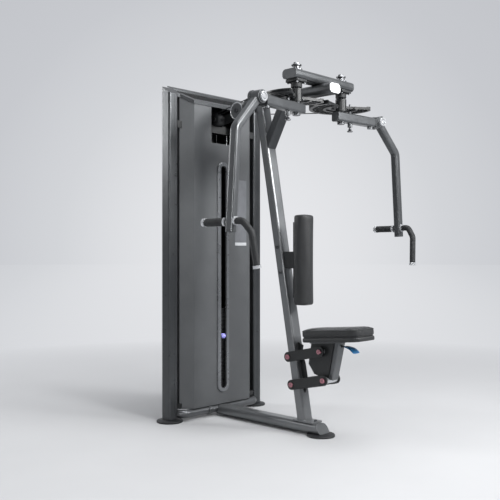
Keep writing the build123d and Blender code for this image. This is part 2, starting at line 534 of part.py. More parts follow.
# ---- pads and seat ----
def pads():
    tc, w, dpt = (PAD_T0 + PAD_T1) / 2, PAD_W, PAD_T1 - PAD_T0
    pl = Plane(origin=(0, -tc, PAD_Z0), x_dir=(1, 0, 0), z_dir=(0, 0, 1))
    pad = extrude(pl * RectangleRounded(w, dpt - 10, 30), PAD_Z1 - PAD_Z0)
    pad = Pos(0, -5, 0) * fillet(pad.edges().group_by(Axis.Z)[-1] + pad.edges().group_by(Axis.Z)[0], 10)
    keep("chest_pad", pad)
    br = bar(pt(0, 560, 930), pt(0, PAD_T0, 930), 50, 92, 8, wall=4)
    br -= lean_cut(pt(0, up_t(-10), -10), Vector(0, -(up_t(2000) - up_t(-10)), 2010))
    br = br.solids().sort_by(SortBy.VOLUME)[-1]
    keep("chest_pad_bracket", br + block(-38, 38, PAD_T0, PAD_T0 + 9.5, PAD_Z0 + 40, PAD_Z1 - 40))


def pad_bolts():
    return [rod(pt(s * UP_W / 2, t, z), pt(s * (UP_W / 2 + 7), t, z), 9) for s in (-1, 1)
          for t, z in ((up_t(1000), 1000), (up_t(862), 862))]


def tilted(shape):
    """Turn a seat piece about the middle of the pad, front end up."""
    c = (0, -(SEAT_T0 + SEAT_T1) / 2, SEAT_TOP - 34)
    return Pos(*c) * Rot(-SEAT_TILT, 0, 0) * Pos(-c[0], -c[1], -c[2]) * shape


def seat_pad():
    def slab(grow, z0, z1, f):
        pl = Plane(origin=(0, -(SEAT_T0 + SEAT_T1) / 2, z0))
        outline = RectangleRounded(SEAT_W + 2 * grow, SEAT_T1 - SEAT_T0 + 2 * grow, 46 + grow)
        s = extrude(pl * outline, z1 - z0)
        return fillet(s.edges().group_by(Axis.Z)[-1], f)
    pad = slab(0, SEAT_TOP - 40, SEAT_TOP, 8) + slab(-5, SEAT_TOP - 44, SEAT_TOP - 40, 1)
    keep("seat_pad", tilted(pad + slab(0, SEAT_TOP - 68, SEAT_TOP - 44, 3)))


def cap_screw(c, s):
    bore = rod(pt(-LINK_X1 - 3.5, *c), pt(LINK_X1 + 3.5, *c), 8)
    return rod(pt(s * (LINK_X1 + 1.5), *c), pt(s * (LINK_X1 + 9.5), *c), 13) - bore


def link_pair(p, q, bore_q):
    link = round_link(p, q, LINK_X0, LINK_X1, 27, 8.05, bore_q)
    return link, mirrored(link)


def seat():
    seat_pad()
    zt = SEAT_TOP - 74
    plate = tilted(block(-60, 60, 800, 1000, zt, SEAT_TOP - 68))
    above = tilted(block(-80, 80, 700, 1200, zt, 640))
    post = bar(pt(0, 908, 312), pt(0, 966, 560), 54, 40, 6, wall=3.5) - above
    post -= rod(pt(-60, *FL), pt(60, *FL), 19)
    post -= block(-5, 5, 945, 1000, 478, 496)
    keep("seat_post", post.solids().sort_by(SortBy.VOLUME)[-1] + plate)
    out = [(800, 540), (774, 381), (812, 330), (866, 318), (905, 318), (950, 540)]
    pl = side_plate(out, 27, 33) - above
    for c in (FU, FL):
        pl -= rod(pt(-60, *c), pt(60, *c), 18.02)
    keep("seat_side_plates", pl, mirrored(pl))
    keep("seat_pivot_tubes", *[rod(pt(1 - LINK_X0, *c), pt(LINK_X0 - 1, *c), 18)
                               + rod(pt(-LINK_X1 - 3.5, *c), pt(LINK_X1 + 3.5, *c), 8) for c in (FU, FL)])
    keep("front_bolt_caps", *[cap_screw(c, s) for c in (FU, FL) for s in (-1, 1)])
    keep("rear_bolt_caps", *[cap_screw(c, s) for c in (RU, RL) for s in (-1, 1)])
    keep("upper_links", *link_pair(RU, FU, 8.05))
    keep("lower_links", *link_pair(RL, FL, 8.3))
    q = side_plate([(up_t(486) + 24, 486), (up_t(470) + 60, 470), (700, 430), (724, 370), (738, 300),
                    (732, 232), (up_t(208) + 24, 208)], -4, 4)
    q -= lean_cut(pt(0, up_t(-10), -10), Vector(0, -(up_t(2000) - up_t(-10)), 2010))
    keep("lock_quadrant", q.solids().sort_by(SortBy.VOLUME)[-1])
    grip = side_plate([(990, 491), (1010, 494), (1035, 487), (1050, 476), (1064, 460), (1056, 454),
                       (1040, 466), (1020, 477), (1004, 481), (990, 480)], -30, 30)
    lever = rod(pt(0, 945, 486), pt(0, 991, 486), 3.5) + rod(pt(-18, 945, 486), pt(18, 945, 486), 5)
    keep("seat_lever", lever + grip)


def export_all():
    total = 0
    for name, shapes in NODES.items():
        solids = []
        for s in shapes:
            solids += [v for v in s.solids()]
        moved = [v.moved(Location((0, MID, 0))) for v in solids]
        part = moved[0] if len(moved) == 1 else Compound(children=moved)
        part.label = name
        export_step(part, f"parts/{name}.step")
        total += 1
    print("nodes", total, "cable top z", round(lift_top.Z, 3), "leg angle", round(degrees(leg_angle), 3))


tower_frame()
tower_covers()
pin_z, head_z = stack()
caps, bolts = base_and_upright()
pivots(caps, bolts)
pair("cam", cam())
arms()
swing_arms()
cen1, cen2, cen3, leg_angle, lift_top = cables(head_z + 0.0)
pulleys(cen1, cen2, cen3, leg_angle)
pads()
seat()
export_all()
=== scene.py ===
import bpy
from math import sin, cos, tan, pi, radians
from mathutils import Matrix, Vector


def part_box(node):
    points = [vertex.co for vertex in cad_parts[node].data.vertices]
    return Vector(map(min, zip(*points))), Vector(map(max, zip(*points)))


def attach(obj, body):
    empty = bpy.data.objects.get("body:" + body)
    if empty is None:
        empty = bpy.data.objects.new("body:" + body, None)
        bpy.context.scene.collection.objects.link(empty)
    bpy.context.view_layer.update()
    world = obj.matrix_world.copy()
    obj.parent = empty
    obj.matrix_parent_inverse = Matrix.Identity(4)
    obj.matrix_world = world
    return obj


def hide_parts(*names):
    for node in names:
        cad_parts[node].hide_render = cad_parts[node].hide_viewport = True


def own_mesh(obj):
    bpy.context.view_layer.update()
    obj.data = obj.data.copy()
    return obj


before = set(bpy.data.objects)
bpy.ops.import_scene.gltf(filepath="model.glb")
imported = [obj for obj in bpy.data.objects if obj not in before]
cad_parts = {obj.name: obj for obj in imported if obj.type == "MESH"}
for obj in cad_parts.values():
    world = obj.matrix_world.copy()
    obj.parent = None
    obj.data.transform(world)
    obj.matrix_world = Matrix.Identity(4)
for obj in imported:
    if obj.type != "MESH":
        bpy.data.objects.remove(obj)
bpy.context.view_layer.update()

# ---- places in the CAD model, in millimetres; t is the distance forward of the tower column line ----
MID = 527.5                                     # the column line, behind the origin
PIV_X, PIV_T, ARM_YAW = 186.3, 820.6, radians(4.54)
CAM_R, CAM_Z = 170.0, 1767.0
BAR_TOP = 1904.0
CABLE_X, CABLE_R = 20.0, 2.75
LIFT_TOP_Z, LIFT_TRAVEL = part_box("stack_cables")[1].z * 1000, 180.0
TOP_Z0, TOP_SLOPE = 1902.0, 0.62
RU, RL = (648.0, 406.0), (671.5, 257.5)
FU, FL = (865.0, 453.5), (888.5, 305.0)
LINK_X1 = 56.5
PAD_T0, PAD_T1, PAD_W, PAD_Z0, PAD_Z1 = 670.0, 759.0, 110.0, 686.0, 1175.0
SEAT_W, SEAT_T0, SEAT_T1, SEAT_TOP = 182.0, 753.0, 1130.0, 578.0
SEAT_TILT = radians(5.0)
END_S, END_Z, BEND_S, BEND_Z, GRIP_Z = 510.0, 1069.0, 475.0, 1552.0, 1112.0
GRIP_S = END_S + (BEND_S - END_S) * (END_Z - GRIP_Z) / (END_Z - BEND_Z)
CABLE_LOW_Z = 685.0                             # lower end of the stack cables at rest
PLACARD_X = (103, 200)
PLACARD_T = (79.0, 79.8)
HINGE_S, HINGE_Z = 314, 1718                    # swing hinge, along the arm and in height
MM = 0.001
VIEW_AZ = radians(45.74)                        # the way the photo's camera looks, from +Y towards +X


def at(x, t, z):
    """A point of the row frame in metres, from x, distance forward of the columns, and height."""
    return Vector((x, MID - t, z)) * MM


def on_arm(s, y, z, side):
    """A point given along the right-hand arm, its mirror image for the left-hand one."""
    x = PIV_X + s * cos(ARM_YAW) + y * sin(ARM_YAW)
    yy = MID - PIV_T - s * sin(ARM_YAW) + y * cos(ARM_YAW)
    return Vector((x * side, yy, z)) * MM


def tip_up(o):
    """Tilt a finished seat piece about the middle of the pad, front end up."""
    cy, cz = (MID - (SEAT_T0 + SEAT_T1) / 2) * MM, (SEAT_TOP - 34.0) * MM
    for v in o.data.vertices:
        y, z = v.co.y - cy, v.co.z - cz
        v.co.y = cy + y * cos(SEAT_TILT) + z * sin(SEAT_TILT)
        v.co.z = cz - y * sin(SEAT_TILT) + z * cos(SEAT_TILT)
    o.data.update()


def up_t(z):
    """Distance forward of the upright's middle line at a height."""
    return 721.0 + (407.0 - 721.0) * (z - 67.0) / (1804.0 - 67.0)


SIDES = (("right", 1), ("left", -1))


# ---- materials ----
def srgb(r, g, b):
    def lin(c):
        c = c / 255.0
        return c / 12.92 if c <= 0.04045 else ((c + 0.055) / 1.055) ** 2.4
    return (lin(r), lin(g), lin(b), 1.0)


def scaled(c, k):
    return (min(c[0] * k, 1), min(c[1] * k, 1), min(c[2] * k, 1), 1.0)


class Mat:
    """Small helper that wires a Principled shader from procedural nodes."""

    def __init__(self, name):
        self.m = bpy.data.materials.new(name)
        self.m.use_nodes = True
        self.nt = self.m.node_tree
        self.nt.nodes.clear()
        self.out = self.node("ShaderNodeOutputMaterial")
        self.b = self.node("ShaderNodeBsdfPrincipled")
        self.nt.links.new(self.b.outputs[0], self.out.inputs[0])
        self.co = self.node("ShaderNodeTexCoord").outputs["Object"]
        self.normal = None

    def node(self, kind, **values):
        n = self.nt.nodes.new(kind)
        for k, v in values.items():
            setattr(n, k, v)
        return n

    def link(self, a, b):
        self.nt.links.new(a, b)

    def noise(self, scale, detail=3.0, rough=0.55):
        n = self.node("ShaderNodeTexNoise")
        n.inputs["Scale"].default_value = scale
        n.inputs["Detail"].default_value = detail
        n.inputs["Roughness"].default_value = rough
        self.link(self.co, n.inputs["Vector"])
        return n.outputs["Fac"]

    def cell_edges(self, scale):
        n = self.node("ShaderNodeTexVoronoi", feature="DISTANCE_TO_EDGE")
        n.inputs["Scale"].default_value = scale
        self.link(self.co, n.inputs["Vector"])
        return n.outputs["Distance"]

    def ramp(self, fac, stops):
        r = self.node("ShaderNodeValToRGB")
        e = r.color_ramp.elements
        while len(e) < len(stops):
            e.new(0.5)
        for i, (p, c) in enumerate(stops):
            e[i].position = p
            e[i].color = c if isinstance(c, tuple) else (c, c, c, 1)
        self.link(fac, r.inputs[0])
        return r.outputs[0]

    def mix(self, fac, a, b, mode="MIX"):
        n = self.node("ShaderNodeMix", data_type="RGBA", blend_type=mode)
        for src, sock in ((fac, n.inputs[0]), (a, n.inputs[6]), (b, n.inputs[7])):
            if isinstance(src, (float, tuple)):
                sock.default_value = src
            else:
                self.link(src, sock)
        return n.outputs[2]

    def math(self, op, a, b):
        n = self.node("ShaderNodeMath", operation=op)
        for src, sock in ((a, n.inputs[0]), (b, n.inputs[1])):
            if isinstance(src, float):
                sock.default_value = src
            else:
                self.link(src, sock)
        return n.outputs[0]

    def round_edges(self, radius):
        """Rounded edges in the shading, and a mask of where the edges are."""
        bev = self.node("ShaderNodeBevel", samples=4)
        bev.inputs["Radius"].default_value = radius
        self.normal = bev.outputs[0]
        geo = self.node("ShaderNodeNewGeometry")
        dot = self.node("ShaderNodeVectorMath", operation="DOT_PRODUCT")
        self.link(bev.outputs[0], dot.inputs[0])
        self.link(geo.outputs["Normal"], dot.inputs[1])
        return self.ramp(dot.outputs["Value"], [(0.72, 1.0), (0.985, 0.0)])

    def bump(self, height, strength, distance):
        n = self.node("ShaderNodeBump")
        n.inputs["Strength"].default_value = strength
        n.inputs["Distance"].default_value = distance
        self.link(height, n.inputs["Height"])
        if self.normal is not None:
            self.link(self.normal, n.inputs["Normal"])
        self.normal = n.outputs[0]

    def finish(self, color, rough, **values):
        for src, key in ((color, "Base Color"), (rough, "Roughness")):
            if isinstance(src, (float, tuple)):
                self.b.inputs[key].default_value = src
            else:
                self.link(src, self.b.inputs[key])
        for k, v in values.items():
            self.b.inputs[k].default_value = v
        if self.normal is not None:
            self.link(self.normal, self.b.inputs["Normal"])
        return self.m


def painted(name, base, metallic, rough, coat=0.15, grain=0.35, edge=1.35):
    """Powder-coated or metallic paint: broad tone drift, fine flake and lighter worn edges."""
    k = Mat(name)
    mask = k.round_edges(0.0016)
    drift = k.ramp(k.noise(5.0, 4.0), [(0.3, scaled(base, 0.90)), (0.7, scaled(base, 1.10))])
    flake = k.ramp(k.noise(1400.0, 2.0, 0.6), [(0.35, 0.86), (0.65, 1.14)])
    tone = k.mix(1.0, drift, flake, "MULTIPLY")
    wear = k.math("MULTIPLY", mask, k.ramp(k.noise(60.0, 3.0), [(0.42, 0.15), (0.62, 0.9)]))
    tone = k.mix(wear, tone, scaled(base, edge))
    fine = k.noise(900.0, 2.0)
    k.bump(fine, grain, 0.00025)
    orange = k.noise(160.0, 2.0)
    k.bump(orange, 0.10, 0.0006)
    r = k.ramp(k.noise(14.0, 4.0), [(0.3, rough[0]), (0.7, rough[1])])
    return k.finish(tone, r, Metallic=metallic, **{"Coat Weight": coat, "Coat Roughness": 0.22})


def bare_metal(name, base, rough, lines=0.25):
    """Plated or machined metal with fine turning lines and faint smudges."""
    k = Mat(name)
    mask = k.round_edges(0.0008)
    smudge = k.ramp(k.noise(22.0, 4.0), [(0.3, scaled(base, 0.88)), (0.7, base)])
    tone = k.mix(mask, smudge, scaled(base, 1.15))
    k.bump(k.noise(320.0, 2.0, 0.7), lines, 0.00012)
    r = k.ramp(k.noise(35.0, 5.0), [(0.3, rough[0]), (0.75, rough[1])])
    return k.finish(tone, r, Metallic=1.0)


def moulded(name, base, rough=(0.45, 0.6), grain=0.3, scale=700.0, dist=0.0003, coat=0.0):
    """Moulded plastic or rubber with a fine spark-eroded grain."""
    k = Mat(name)
    mask = k.round_edges(0.0010)
    drift = k.ramp(k.noise(18.0, 4.0), [(0.3, scaled(base, 0.86)), (0.7, scaled(base, 1.14))])
    tone = k.mix(k.math("MULTIPLY", mask, 0.5), drift, scaled(base, 1.6))
    k.bump(k.noise(scale, 3.0), grain, dist)
    r = k.ramp(k.noise(40.0, 3.0), [(0.3, rough[0]), (0.7, rough[1])])
    return k.finish(tone, r, **{"Coat Weight": coat, "Coat Roughness": 0.2})


def leather(name, base):
    """Upholstery vinyl: pebble grain from cell edges, soft creases and slight sheen."""
    k = Mat(name)
    cells = k.cell_edges(520.0)
    pebbles = k.ramp(cells, [(0.0, 0.0), (0.22, 1.0)])
    drift = k.ramp(k.noise(9.0, 5.0), [(0.3, scaled(base, 0.88)), (0.7, scaled(base, 1.14))])
    tone = k.mix(1.0, drift, k.ramp(cells, [(0.0, 0.72), (0.16, 1.0)]), "MULTIPLY")
    k.bump(k.noise(24.0, 5.0, 0.6), 0.16, 0.0022)
    k.bump(pebbles, 0.36, 0.00045)
    r = k.ramp(k.noise(30.0, 5.0), [(0.3, 0.40), (0.7, 0.56)])
    return k.finish(tone, r, **{"Sheen Weight": 0.12, "Sheen Roughness": 0.4,
                                "Coat Weight": 0.06, "Coat Roughness": 0.35})


def cast_iron(name, base):
    """Rough cast plate under thin paint, rubbed bright on its edges."""
    k = Mat(name)
    mask = k.round_edges(0.0015)
    drift = k.ramp(k.noise(16.0, 5.0), [(0.3, scaled(base, 0.75)), (0.7, scaled(base, 1.3))])
    tone = k.mix(k.math("MULTIPLY", mask, 0.7), drift, scaled(base, 2.4))
    k.bump(k.noise(260.0, 5.0, 0.65), 0.5, 0.0006)
    r = k.ramp(k.noise(50.0, 3.0), [(0.3, 0.5), (0.7, 0.7)])
    return k.finish(tone, r, Metallic=0.3)


def sheath(name, base):
    """Nylon-covered wire rope: faint lay of the strands under a glossy coat."""
    k = Mat(name)
    w = k.node("ShaderNodeTexWave", wave_type="BANDS", bands_direction="DIAGONAL")
    w.inputs["Scale"].default_value = 90.0
    k.link(k.co, w.inputs["Vector"])
    k.bump(w.outputs["Fac"], 0.35, 0.0004)
    tone = k.ramp(k.noise(60.0, 3.0), [(0.3, scaled(base, 0.8)), (0.7, scaled(base, 1.3))])
    return k.finish(tone, 0.32, **{"Coat Weight": 0.3, "Coat Roughness": 0.12})


M = {
    "frame_paint": painted("frame_paint", srgb(98, 100, 102), 0.75, (0.28, 0.38)),
    "shroud_panel": painted("shroud_panel", srgb(86, 88, 90), 0.35, (0.42, 0.54), coat=0.05, grain=0.5,
                            edge=1.25),
    "black_paint": painted("black_paint", srgb(28, 30, 31), 0.1, (0.36, 0.48), coat=0.1, edge=1.7),
    "black_plastic": moulded("black_plastic", srgb(27, 29, 31)),
    "trim": painted("trim", srgb(118, 120, 123), 0.7, (0.24, 0.34), edge=1.5),
    # chrome: pale, half-diffuse base, a painted reflection that keeps chrome parts bright where they mirror
    # the dark side of the studio
    "chrome": painted("chrome", srgb(206, 208, 211), 0.55, (0.16, 0.26), coat=0.3, grain=0.15, edge=1.1),
    "steel": bare_metal("steel", (0.13, 0.133, 0.14, 1), (0.28, 0.42), lines=0.4),
    "rubber": moulded("rubber", srgb(28, 30, 32), rough=(0.55, 0.72), grain=0.5, scale=1100.0, dist=0.0004),
    "cable_sheath": sheath("cable_sheath", srgb(24, 25, 27)),
    "plate_iron": cast_iron("plate_iron", srgb(36, 37, 39)),
    "pad_leather": leather("pad_leather", srgb(27, 29, 31)),
    "red_cap": moulded("red_cap", srgb(156, 104, 114), rough=(0.3, 0.42), grain=0.2, coat=0.3),
    "blue_lever": moulded("blue_lever", srgb(26, 100, 150), rough=(0.28, 0.4), grain=0.25, coat=0.25),
    "violet_knob": moulded("violet_knob", srgb(163, 161, 246), rough=(0.28, 0.4), grain=0.2, coat=0.25),
    # painted light and shade: copies of frame_paint, darker for the tower, a little darker for the arms,
    # lighter for the upright, the base beam and the idler
    "tower_painted_lighting": painted("tower_painted_lighting", srgb(72, 74, 76), 0.75, (0.27, 0.36)),
    "arm_painted_lighting": painted("arm_painted_lighting", srgb(94, 96, 98), 0.75, (0.28, 0.38)),
    "beam_painted_lighting": painted("beam_painted_lighting", srgb(120, 122, 124), 0.7, (0.28, 0.38)),
    "dull_chrome": bare_metal("dull_chrome", (0.30, 0.305, 0.31, 1), (0.2, 0.3)),
    "cap_white": moulded("cap_white", srgb(252, 253, 254), rough=(0.3, 0.4), grain=0.15, coat=0.2),
    "recess_dark": moulded("recess_dark", srgb(30, 32, 34), rough=(0.5, 0.65), grain=0.4),
    "thread_dark": moulded("thread_dark", srgb(34, 36, 38), rough=(0.6, 0.75), grain=0.4),
    "placard_grey": moulded("placard_grey", srgb(98, 100, 104), rough=(0.4, 0.5), grain=0.15, coat=0.1),
    "placard_pale": moulded("placard_pale", srgb(186, 188, 191), rough=(0.4, 0.5), grain=0.15, coat=0.1),
}
# CAD nodes that keep their slot but take another material of it: lit and shaded copies of the frame paint,
# which are painted light and shade for how each part is lit, and a duller chrome for the guide rods
LIGHTING_COPY_AND_FINISH_OF = {"tower_columns": "tower_painted_lighting", "tower_top_rim": "tower_painted_lighting", "diagonal_brace": "tower_painted_lighting",
           "upright": "beam_painted_lighting", "base_beam": "beam_painted_lighting", "arm_tube_left": "arm_painted_lighting",
           "arm_tube_right": "arm_painted_lighting", "guide_rods": "dull_chrome", "idler_pulley": "beam_painted_lighting"}

SLOT_OF = {
    "frame_paint": "tower_columns tower_top_rim base_cross_tube base_beam upright upper_beam diagonal_brace "
                   "cross_bar arm_tube_left arm_tube_right swing_arm_left swing_arm_right seat_post "
                   "idler_pulley beam_end_caps",
    "shroud_panel": "front_shroud rear_shroud",
    "black_paint": "chest_pad_bracket head_beam stack_base cam_left cam_right seat_side_plates upper_links "
                   "lower_links lock_quadrant",
    "black_plastic": "tower_pulley beam_pulley leg_pulley_left leg_pulley_right levelling_feet",
    "trim": "slot_trim",
    "chrome": "guide_rods hinge_pin_left hinge_pin_right grip_rings_left grip_rings_right seat_pivot_tubes "
              "selector_pin",
    "steel": "arm_axles frame_bolts pulley_axles lock_pin_left lock_pin_right",
    "rubber": "stack_bumpers straight_grip_left straight_grip_right curved_grip_left curved_grip_right",
    "cable_sheath": "pull_cables stack_cables",
    "plate_iron": "resting_plates lifted_plates top_plate",
    "pad_leather": "chest_pad seat_pad",
    "red_cap": "front_bolt_caps rear_bolt_caps",
    "blue_lever": "seat_lever",
    "violet_knob": "selector_knob",
}
for slot_name, names in SLOT_OF.items():
    for node_name in names.split():
        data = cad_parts[node_name].data
        data.materials.clear()
        data.materials.append(M[LIGHTING_COPY_AND_FINISH_OF.get(node_name, slot_name)])


# ---- mesh building ----
def new_piece(name, verts, faces, mat, body, smooth=True, replaces=()):
    me = bpy.data.meshes.new(name)
    me.from_pydata([tuple(v) for v in verts], [], faces)
    me.validate()
    o = bpy.data.objects.new(name, me)
    bpy.context.scene.collection.objects.link(o)
    me.materials.append(M[mat])
    me.polygons.foreach_set("use_smooth", [smooth] * len(me.polygons))
    settle(o, body, replaces)
    return o


def settle(o, body, replaces):
    """Hide the CAD nodes a piece stands for, and hang the piece on the body it rides on."""
    if replaces:
        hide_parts(*replaces)
    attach(o, body)


def axes_for(direction):
    """Two cross directions and the unit direction itself."""
    d = Vector(direction).normalized()
    side = Vector((0, 0, 1)) if abs(d.z) < 0.9 else Vector((1, 0, 0))
    u = d.cross(side).normalized()
    return u, d.cross(u).normalized(), d


def lathe_mesh(origin, direction, profile, segs):
    """Surface of revolution of (radius, height) pairs in mm about an axis; both ends close."""
    u, v, d = axes_for(direction)
    origin = Vector(origin)
    verts, faces = [], []
    for r, h in profile:
        for i in range(segs):
            a = 2 * pi * i / segs
            verts.append(origin + (u * cos(a) + v * sin(a)) * r * MM + d * h * MM)
    for k in range(len(profile) - 1):
        for i in range(segs):
            j = (i + 1) % segs
            faces.append((k * segs + i, k * segs + j, (k + 1) * segs + j, (k + 1) * segs + i))
    faces.append(tuple(range(segs))[::-1])
    top = (len(profile) - 1) * segs
    faces.append(tuple(range(top, top + segs)))
    return verts, faces


def joined(parts):
    """Several meshes as one list of points and faces."""
    verts, faces = [], []
    for v, f in parts:
        n = len(verts)
        verts += v
        faces += [tuple(i + n for i in face) for face in f]
    return verts, faces


def soften(o, angle=32.0):
    """Smooth shading that keeps edges sharper than an angle."""
    o.data.polygons.foreach_set("use_smooth", [True] * len(o.data.polygons))
    edge_faces = {}
    for p in o.data.polygons:
        for e in p.edge_keys:
            edge_faces.setdefault(e, []).append(p.normal.copy())
    lim = cos(radians(angle))
    sharp = o.data.attributes.new("sharp_edge", "BOOLEAN", "EDGE")
    flags = []
    for e in o.data.edges:
        ns = edge_faces.get(tuple(sorted(e.vertices)), [])
        flags.append(len(ns) != 2 or ns[0].dot(ns[1]) < lim)
    sharp.data.foreach_set("value", flags)
    return o


def lathe(name, parts, mat, body, replaces=(), segs=36):
    """One piece from several turned shapes: (origin, direction, profile[, segments])."""
    made = [lathe_mesh(p[0], p[1], p[2], p[3] if len(p) > 3 else segs) for p in parts]
    v, f = joined(made)
    return soften(new_piece(name, v, f, mat, body, replaces=replaces))


def smooth_path(points, radius, per):
    """A polyline with each inner corner rounded to a radius (mm)."""
    pts = [Vector(p) for p in points]
    out = [pts[0]]
    for a, b, c in zip(pts, pts[1:], pts[2:]):
        u, v = (a - b).normalized(), (c - b).normalized()
        half = u.angle(v) / 2
        leg = min(radius * MM / tan(half), (a - b).length * 0.48, (c - b).length * 0.48)
        s, e = b + u * leg, b + v * leg
        for i in range(per + 1):
            w = i / per
            out.append(s * (1 - w) ** 2 + b * 2 * w * (1 - w) + e * w ** 2)
    out.append(pts[-1])
    return out


def resample(points, step):
    """Points at equal spacing along a path, and their tangents."""
    pts = [Vector(p) for p in points]
    total = sum((b - a).length for a, b in zip(pts, pts[1:]))
    n = max(2, int(total / step))
    out, seg, base = [], 0, 0.0
    for i in range(n + 1):
        want = total * i / n
        while seg < len(pts) - 2 and base + (pts[seg + 1] - pts[seg]).length < want:
            base += (pts[seg + 1] - pts[seg]).length
            seg += 1
        ln = (pts[seg + 1] - pts[seg]).length
        out.append(pts[seg].lerp(pts[seg + 1], min(1.0, (want - base) / max(ln, 1e-9))))
    tan_ = [(out[min(i + 1, n)] - out[max(i - 1, 0)]).normalized() for i in range(n + 1)]
    return out, tan_


def tube_mesh(points, radii, segs, closed=False):
    """A tube with a radius (mm) at every point; parallel-transported rings."""
    pts = [Vector(p) for p in points]
    n = len(pts)
    if closed:
        tans = [(pts[(i + 1) % n] - pts[i - 1]).normalized() for i in range(n)]
    else:
        tans = [(pts[min(i + 1, n - 1)] - pts[max(i - 1, 0)]).normalized() for i in range(n)]
    u = axes_for(tans[0])[0]
    verts, faces = [], []
    for p, d, r in zip(pts, tans, radii):
        u = (u - d * u.dot(d)).normalized()
        v = d.cross(u)
        for i in range(segs):
            a = 2 * pi * i / segs
            verts.append(p + (u * cos(a) + v * sin(a)) * r * MM)
    rows = n if closed else n - 1
    for k in range(rows):
        m = (k + 1) % n
        for i in range(segs):
            j = (i + 1) % segs
            faces.append((k * segs + i, k * segs + j, m * segs + j, m * segs + i))
    if not closed:
        faces.append(tuple(range(segs))[::-1])
        faces.append(tuple(range((n - 1) * segs, n * segs)))
    return verts, faces


def rounded_rect(w, d, r, per=6):
    """Outline of a rectangle with round corners, as (x, y) in mm."""
    out = []
    for cx, cy, a0 in ((w / 2 - r, d / 2 - r, 0), (-w / 2 + r, d / 2 - r, 90),
                       (-w / 2 + r, -d / 2 + r, 180), (w / 2 - r, -d / 2 + r, 270)):
        for i in range(per + 1):
            a = radians(a0 + 90 * i / per)
            out.append((cx + r * cos(a), cy + r * sin(a)))
    return out


def loft_mesh(rings, crown=0.0, normal=None):
    """Skin through rings of equal count; the ends close with a fan that can bulge by crown (mm)."""
    n = len(rings[0])
    verts = [Vector(p) for r in rings for p in r]
    faces = []
    for k in range(len(rings) - 1):
        for i in range(n):
            j = (i + 1) % n
            faces.append((k * n + i, k * n + j, (k + 1) * n + j, (k + 1) * n + i))
    for which, ring, sgn in ((0, rings[0], -1), (len(rings) - 1, rings[-1], 1)):
        c = sum((Vector(p) for p in ring), Vector()) / n
        if normal is not None:
            c = c + Vector(normal) * (crown * MM * sgn)
        verts.append(c)
        ci = len(verts) - 1
        for i in range(n):
            j = (i + 1) % n
            tri = (which * n + i, which * n + j, ci)
            faces.append(tri if sgn > 0 else tri[::-1])
    return verts, faces


def slab_rings(cx, ct, z_inset, w, d, r):
    """Horizontal rounded-rectangle rings at (z, inset) pairs."""
    rings = []
    for z, inset in z_inset:
        outline = rounded_rect(w - 2 * inset, d - 2 * inset, max(r - inset, 2.0))
        rings.append([at(cx + x, ct - y, z) for x, y in outline])
    return rings


def box_mesh(x0, x1, t0, t1, z0, z1):
    """A plain box between two values of x, t and height."""
    low = [at(x, t, z0) for x, t in ((x0, t0), (x1, t0), (x1, t1), (x0, t1))]
    return loft_mesh([low, [p + Vector((0, 0, (z1 - z0) * MM)) for p in low]])


def subdivide(o, levels=1):
    sub = o.modifiers.new("subdivide", "SUBSURF")
    sub.levels = sub.render_levels = levels


# ---- simulated upholstery ----
CLOTH_FRAMES = 20
PUFF_VOXEL = 0.005


def puff(o, cap, pressure, pin):
    """Remesh, swell under pressure with Cloth, cap the movement, and keep the swollen mesh."""
    rm = o.modifiers.new("remesh", "REMESH")
    rm.mode, rm.voxel_size = "VOXEL", PUFF_VOXEL
    dg = bpy.context.evaluated_depsgraph_get()
    me = bpy.data.meshes.new_from_object(o.evaluated_get(dg))
    o.modifiers.clear()
    o.data = me
    rest = [v.co.copy() for v in me.vertices]
    held = [pin(p) for p in rest]
    group = o.vertex_groups.new(name="pin")
    for i, w in enumerate(held):
        if w > 0:
            group.add([i], w, "REPLACE")
    cl = o.modifiers.new("cloth", "CLOTH")
    st = cl.settings
    st.use_pressure, st.uniform_pressure_force = True, pressure
    st.effector_weights.gravity = 0.0
    st.vertex_group_mass = "pin"
    st.quality, st.mass = 5, 0.3
    st.tension_stiffness, st.compression_stiffness, st.bending_stiffness = 12, 12, 0.6
    cl.point_cache.frame_start, cl.point_cache.frame_end = 1, CLOTH_FRAMES
    scene = bpy.context.scene
    for f in range(1, CLOTH_FRAMES + 1):
        scene.frame_set(f)
    dg = bpy.context.evaluated_depsgraph_get()
    done = bpy.data.meshes.new_from_object(o.evaluated_get(dg))
    scene.frame_set(1)
    o.modifiers.clear()
    o.vertex_groups.clear()
    for v, p in zip(done.vertices, rest):
        d = v.co - p
        if d.length > cap:
            v.co = p + d * (cap / d.length)
    o.data = done


def relax(o, rounds):
    """Plain smoothing of a mesh, to take the voxel steps out."""
    me = o.data
    near = [[] for _ in me.vertices]
    for e in me.edges:
        a, b = e.vertices
        near[a].append(b)
        near[b].append(a)
    for _ in range(rounds):
        co = [v.co.copy() for v in me.vertices]
        for i, v in enumerate(me.vertices):
            if near[i]:
                mean = sum((co[j] for j in near[i]), Vector()) / len(near[i])
                v.co = co[i].lerp(mean, 0.5)
    me.update()


def upholstered(o, cap, pressure, pin):
    """Swell a cushion with Cloth, smooth it and subdivide it."""
    puff(o, cap, pressure, pin)
    relax(o, 3)
    o.data.polygons.foreach_set("use_smooth", [True] * len(o.data.polygons))
    subdivide(o)


